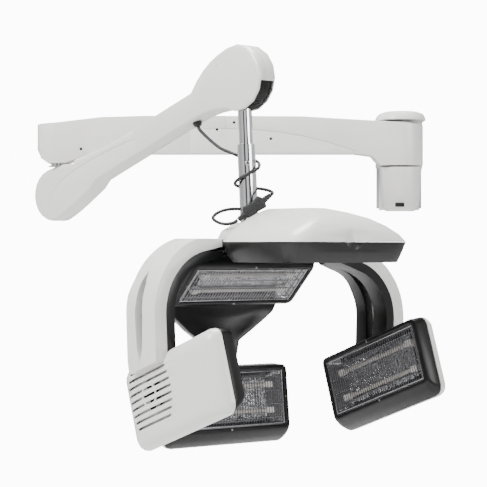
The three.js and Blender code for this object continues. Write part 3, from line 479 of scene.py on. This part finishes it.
def screwHead(name, place, outward, radius):
    # A pan head with a crossed recess
    clearSelection()
    bpy.ops.mesh.primitive_cylinder_add(vertices=24, radius=radius, depth=radius * 0.5,
                                        location=(0, 0, radius * 0.1))
    made = bpy.context.object
    made.name = name
    settle(made)
    roundEdges(made, radius * 0.16, 2, 40)
    for turn in (0, 90):
        clearSelection()
        bpy.ops.mesh.primitive_cube_add(size=1, location=(0, 0, radius * 0.42),
                                        rotation=(0, 0, radians(turn)))
        cutter = bpy.context.object
        cutter.scale = (radius * 1.1, radius * 0.26, radius * 0.5)
        settle(cutter)
        cut = made.modifiers.new("recess", "BOOLEAN")
        cut.operation = "DIFFERENCE"
        cut.object = cutter
        applyAll(made)
        bpy.data.objects.remove(cutter)
    way = Vector(outward).to_track_quat("Z", "Y").to_matrix().to_4x4()
    return moved(made, Matrix.Translation(Vector(place)) @ way)


for head, part in headParts.items():
    tall, deep, body = part["tall"], part["deep"], part["body"]
    finishAs(wireGuard(head, tall), wireSteelPaintedShade, body, "steel", head + "_guard")
    finishAs(corrugatedTray(head, tall, deep), trayDimples, body, "reflector")
    tubes, caps = quartzLamps(head, tall, deep)
    finishAs(tubes, lampQuartz, body, "reflector")
    finishAs(caps, lampEnd, body, "white")
    edgeY, edgeX = tall / 2 + part["screwOut"], frameScrews["side"]
    places = [(0, edgeY, -frameScrews["endSunk"]), (0, -edgeY, -frameScrews["endSunk"]),
              (edgeX, 0, -frameScrews["sunk"]), (-edgeX, 0, -frameScrews["sunk"])]
    screws = [screwHead("screw", place, (0, 0, 1), frameScrews["radius"]) for place in places]
    screwSet = moved(joined(screws, head + "_frame_screws"), headFrame[head])
    finishAs(screwSet, hardSteel, body, "steel")
print("heater heads ready")


# Head backs: a bowl with slanted vents round a fan window
backShell = {"wide": 0.325, "tall": 0.170, "corner": 0.022, "wall": 0.0026, "seamGap": 0.0003,
             "vents": 9, "pitch": 0.0140, "slot": 0.0054, "reach": 0.080, "shortening": 0.22,
             "halfStack": 0.056, "ring": 0.0245, "ringWall": 0.0032}
# How far back each ring of the bowl stands, and its share of the full outline
bowlRings = [(0.0015, 1.0), (0.010, 0.988), (0.0175, 0.955), (0.0245, 0.895), (0.0300, 0.80),
             (0.0340, 0.67), (0.0357, 0.50), (0.0360, 0.28)]
ventCentres = {"left": 0.062, "right": -0.062, "rear": 0.0}


def headBowl(name, deep, chin):
    # Rings of a rounded rectangle, each pushed back and drawn in
    clearSelection()
    bpy.ops.mesh.primitive_plane_add(size=1, location=(0, 0, 0))
    made = bpy.context.object
    made.name = name
    made.scale = (backShell["wide"], backShell["tall"], 1)
    settle(made)
    bpy.ops.object.mode_set(mode="EDIT")
    bpy.ops.mesh.select_all(action="SELECT")
    bpy.ops.mesh.bevel(offset=backShell["corner"], segments=8, affect="VERTICES")
    lastDrop, lastScale = 0.0, 1.0
    for drop, scale in bowlRings:
        step = (0, 0, -(drop - lastDrop))
        bpy.ops.mesh.extrude_region_move(TRANSFORM_OT_translate={"value": step})
        squeeze = scale / lastScale
        bpy.ops.transform.resize(value=(squeeze ** 0.8, squeeze, 1), center_override=(0, 0, 0))
        lastDrop, lastScale = drop, scale
    bpy.ops.mesh.select_all(action="DESELECT")
    bpy.ops.object.mode_set(mode="OBJECT")
    for face in made.data.polygons:
        face.select = face.normal.z > 0.9 and face.center.z > -0.0001
    bpy.ops.object.mode_set(mode="EDIT")
    bpy.ops.mesh.delete(type="FACE")
    bpy.ops.mesh.select_all(action="SELECT")
    bpy.ops.mesh.normals_make_consistent(inside=False)
    bpy.ops.object.mode_set(mode="OBJECT")
    wall = made.modifiers.new("wall", "SOLIDIFY")
    wall.thickness = backShell["wall"]
    wall.offset = -1
    applyAll(made)
    return moved(made, Matrix.Translation((0, -chin, -deep - backShell["seamGap"])))


def ventCutters(centre, deep):
    cutters = []
    for k in range(backShell["vents"]):
        y = (k - (backShell["vents"] - 1) / 2) * backShell["pitch"]
        bow = (abs(y) / backShell["halfStack"]) ** 2
        reach = backShell["reach"] * (1 - backShell["shortening"] * bow)
        cutters.append(block("vent", (centre - reach, y - backShell["slot"] / 2, -deep - 0.05),
                             (centre + reach, y + backShell["slot"] / 2, -deep - 0.012), 0.002, 3))
    cutter = joined(cutters, "ventCutter")
    ring = rodBetween("ring", (centre, 0, -deep - 0.06), (centre, 0, -deep - 0.005),
                      backShell["ring"], 48)
    hole = rodBetween("hole", (centre, 0, -deep - 0.061), (centre, 0, -deep - 0.004),
                      backShell["ring"] - backShell["ringWall"], 48)
    hollow = ring.modifiers.new("hollow", "BOOLEAN")
    hollow.object = hole
    applyAll(ring)
    bpy.data.objects.remove(hole)
    keep = cutter.modifiers.new("keepRing", "BOOLEAN")
    keep.object = ring
    applyAll(cutter)
    bpy.data.objects.remove(ring)
    return cutter


def headBack(head, centre):
    part = headParts[head]
    made = headBowl(head + "_back_shell", part["deep"], part["chin"])
    cutter = ventCutters(centre, part["deep"])
    cut = made.modifiers.new("vents", "BOOLEAN")
    cut.object = cutter
    applyAll(made)
    bpy.data.objects.remove(cutter)
    roundEdges(made, 0.0004, 2, 50)
    moved(made, headFrame[head])
    return finishAs(made, shellWhite, part["body"], "white", head + "_back")


for head, centre in ventCentres.items():
    headBack(head, centre)
print("head backs ready")


# The lead: three lengths of round rubber flex, the coupling between the last two
leadRoutes = {
    "hang": [(-463.3, -367.6, 62), (-461, -369.5, 56), (-452.6, -378, 46), (-437.3, -392, 31),
             (-415.7, -410, 13), (-396.5, -424, 3.8), (-383.5, -430.5, -2)],
    "wrap": [(-382.8, -430.9, -2.6), (-372, -433, -6.5), (-358, -433, -10), (-344, -437, -14),
             (-335, -446, -19), (-332.5, -457, -25), (-335, -469, -32), (-343, -477.5, -38),
             (-354.5, -481.5, -44), (-368, -480.5, -51), (-379, -473, -58), (-383.5, -461, -64),
             (-380.5, -447, -68), (-371, -437, -71), (-357, -432, -72.5), (-341, -434.5, -73.5),
             (-325, -442, -75.5), (-312, -454, -79), (-305.5, -469, -83), (-305.5, -484, -86),
             (-307.8, -493, -88.2)],
    "loop": [(-377.6, -497, -141.5), (-387.5, -496, -147.3), (-404.3, -490, -149.7),
             (-420, -479, -145.5), (-429.7, -463, -136.8), (-421.5, -447, -126.5),
             (-404, -436, -119.5), (-384, -430, -117), (-368, -429, -118.5), (-357, -430.5, -124),
             (-352.5, -431, -134), (-352.3, -430.5, -145)],
}
leadSizes = {"radius": 0.0035, "roundness": 4, "perSpan": 8}


def curvedThrough(points, perSpan):
    known = [Vector(p) / 1000 for p in points]
    padded = [known[0] * 2 - known[1], *known, known[-1] * 2 - known[-2]]
    line = []
    for k in range(1, len(padded) - 2):
        a, b, c, d = padded[k - 1:k + 3]
        for step in range(perSpan):
            t = step / perSpan
            line.append(0.5 * (2 * b + (c - a) * t + (2 * a - 5 * b + 4 * c - d) * t ** 2
                               + (3 * b - a - 3 * c + d) * t ** 3))
    line.append(known[-1])
    return line


def flex(name, route):
    line = curvedThrough(leadRoutes[route], leadSizes["perSpan"])
    data = bpy.data.curves.new(name, "CURVE")
    data.dimensions = "3D"
    data.bevel_depth = leadSizes["radius"]
    data.bevel_resolution = leadSizes["roundness"]
    data.use_fill_caps = True
    spline = data.splines.new("POLY")
    spline.points.add(len(line) - 1)
    for point, place in zip(spline.points, line):
        point.co = (*place, 1)
    made = bpy.data.objects.new(name, data)
    bpy.context.scene.collection.objects.link(made)
    pick(made)
    bpy.ops.object.convert(target="MESH")
    made = bpy.context.object
    bpy.ops.object.shade_smooth_by_angle(angle=radians(60))
    made.data.materials.clear()
    made.data.materials.append(leadRubber)
    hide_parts("lead_" + route)
    length = sum((b - a).length for a, b in zip(line, line[1:]))
    return made, line, length


leads = {route: flex("flex_" + route, route) for route in leadRoutes}
hang, wrap, loop = (leads[route] for route in ("hang", "wrap", "loop"))
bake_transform(hang[0])
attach(wrap[0], "stem")
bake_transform(loop[0])
print("lead ready")


# Ribs across the slot in the spring arm's head, turned in degrees round the head's pivot
along = Vector((0.68163, -0.62900, 0.37380))
across = Vector((0.67816, 0.73491, 0))
upward = along.cross(across)
slotRibs = {"centre": Vector((-0.36593, -0.45701, 0.15675)), "radius": 0.0658, "from": -104,
            "to": -34, "step": 4.2, "half": 0.0105, "thick": 0.0009, "low": -0.0008, "high": 0.0007}


def ribRow():
    r = slotRibs
    made = []
    count = int((r["to"] - r["from"]) / r["step"]) + 1
    rib = block("rib", (-r["thick"], -r["half"], r["low"]), (r["thick"], r["half"], r["high"]),
                0.0004, 2)
    for k in range(count):
        turn = radians(r["from"] + k * r["step"])
        out = along * cos(turn) + upward * sin(turn)
        side = along * -sin(turn) + upward * cos(turn)
        made.append(copyOf(rib, "rib", axesAt(r["centre"] + out * r["radius"], side, across, out)))
    bpy.data.objects.remove(rib)
    return finishAs(joined(made, "head_slot_ribs"), satinBlack, "stem", "black")


ribRow()


# Screws in the arm, in counterbored holes
armScrews = {"face": -0.1121, "radius": 0.0033,
             "places": [(-0.7385, 0.0265), (-0.4265, 0.0712), (-0.3875, 0.0875), (-0.3031, 0.0500)]}


def armScrewSet():
    made = [screwHead("screw", (x, armScrews["face"], z), (0, -1, 0), armScrews["radius"])
            for x, z in armScrews["places"]]
    return finishAs(joined(made, "arm_face_screws"), deepBlack, "first_arm", "black")


armScrewSet()


# The coupling: ribbed grips and a raised triangle on each half
plugSizes = {"edge": 0.0016, "grips": 5, "gripHalf": 0.0046, "gripGrows": 0.0002,
             "gripThick": 0.0007, "gripFirst": 0.004, "gripStep": 0.0032, "markAt": 0.031,
             "markOut": -0.0090, "markRadius": 0.0068, "markDepth": 0.0011}
plugFrom, plugTo = Vector((-0.309, -0.497, -0.089)), Vector((-0.377, -0.497, -0.141))
towardsFront = Vector((0, -1, 0))


def couplingHalf(node, start, way):
    made = copyOf(nodes[node], node + "_moulded")
    pick(made)
    bpy.ops.object.mode_set(mode="EDIT")
    bpy.ops.mesh.select_all(action="SELECT")
    bpy.ops.mesh.remove_doubles(threshold=weldGap)
    bpy.ops.object.mode_set(mode="OBJECT")
    roundEdges(made, plugSizes["edge"], 3, 30)
    g = plugSizes
    side = towardsFront.cross(way).normalized()
    parts = [made]
    for k in range(g["grips"]):
        half, thick = g["gripHalf"] + g["gripGrows"] * k, g["gripThick"]
        grip = block("grip", (-half, -half, -thick), (half, half, thick), 0.0006, 2)
        place = start + way * (g["gripFirst"] + g["gripStep"] * k)
        parts.append(moved(grip, axesAt(place, side, towardsFront, way)))
    clearSelection()
    bpy.ops.mesh.primitive_cylinder_add(vertices=3, radius=g["markRadius"], depth=g["markDepth"],
                                        location=(0, 0, 0))
    mark = bpy.context.object
    roundEdges(mark, 0.0004, 2, 40)
    place = start + way * g["markAt"] + Vector((0, g["markOut"], 0))
    parts.append(moved(mark, axesAt(place, side, way, towardsFront)))
    return joined(parts, node + "_moulded")


way = (plugTo - plugFrom).normalized()
socketPiece = couplingHalf("lead_socket", plugFrom, way)
plugPiece = couplingHalf("lead_plug", plugTo, -way)
finishAs(socketPiece, leadRubber, "stem", "rubber", "lead_socket")
finishAs(plugPiece, leadRubber, "stem", "rubber", "lead_plug")


# Bracket: a plain inset window low on the cup, and a washer under the arm
window = {"place": (-0.0072, -0.1105, -0.1013), "half": (0.0105, 0.0008, 0.0048)}
low = [c - h for c, h in zip(window["place"], window["half"])]
high = [c + h for c, h in zip(window["place"], window["half"])]
finishAs(block("cup_window", low, high, 0.0006, 3), trayGrey, "wall_bracket", "grey")
washerSizes = {"low": (-0.794, -0.062, -0.0128), "high": (-0.794, -0.062, -0.0098),
               "radius": 0.024, "edge": 0.0008}
washer = rodBetween("elbow_washer", washerSizes["low"], washerSizes["high"],
                    washerSizes["radius"], 48, washerSizes["edge"])
finishAs(washer, bright, "elbow_post", "chrome")
print("small pieces ready")


# Set screw in the sleeve: a crossed head on a short boss
knob = {"place": Vector((-0.3575, -0.4757, -0.0215)), "way": Vector((0.18, -0.98, 0.0)),
        "radius": 0.0042, "boss": 0.0035, "headAt": 0.0040}


def setScrew():
    way = knob["way"].normalized()
    start = knob["place"]
    body = rodBetween("boss", start, start + way * knob["boss"], knob["radius"] * 1.25, 32, 0.0006)
    head = screwHead("screw", start + way * knob["headAt"], way, knob["radius"])
    return finishAs(joined([body, head], "sleeve_set_screw"), bright, "stem", "chrome")


setScrew()
print("last pieces ready")

print("scene ready")
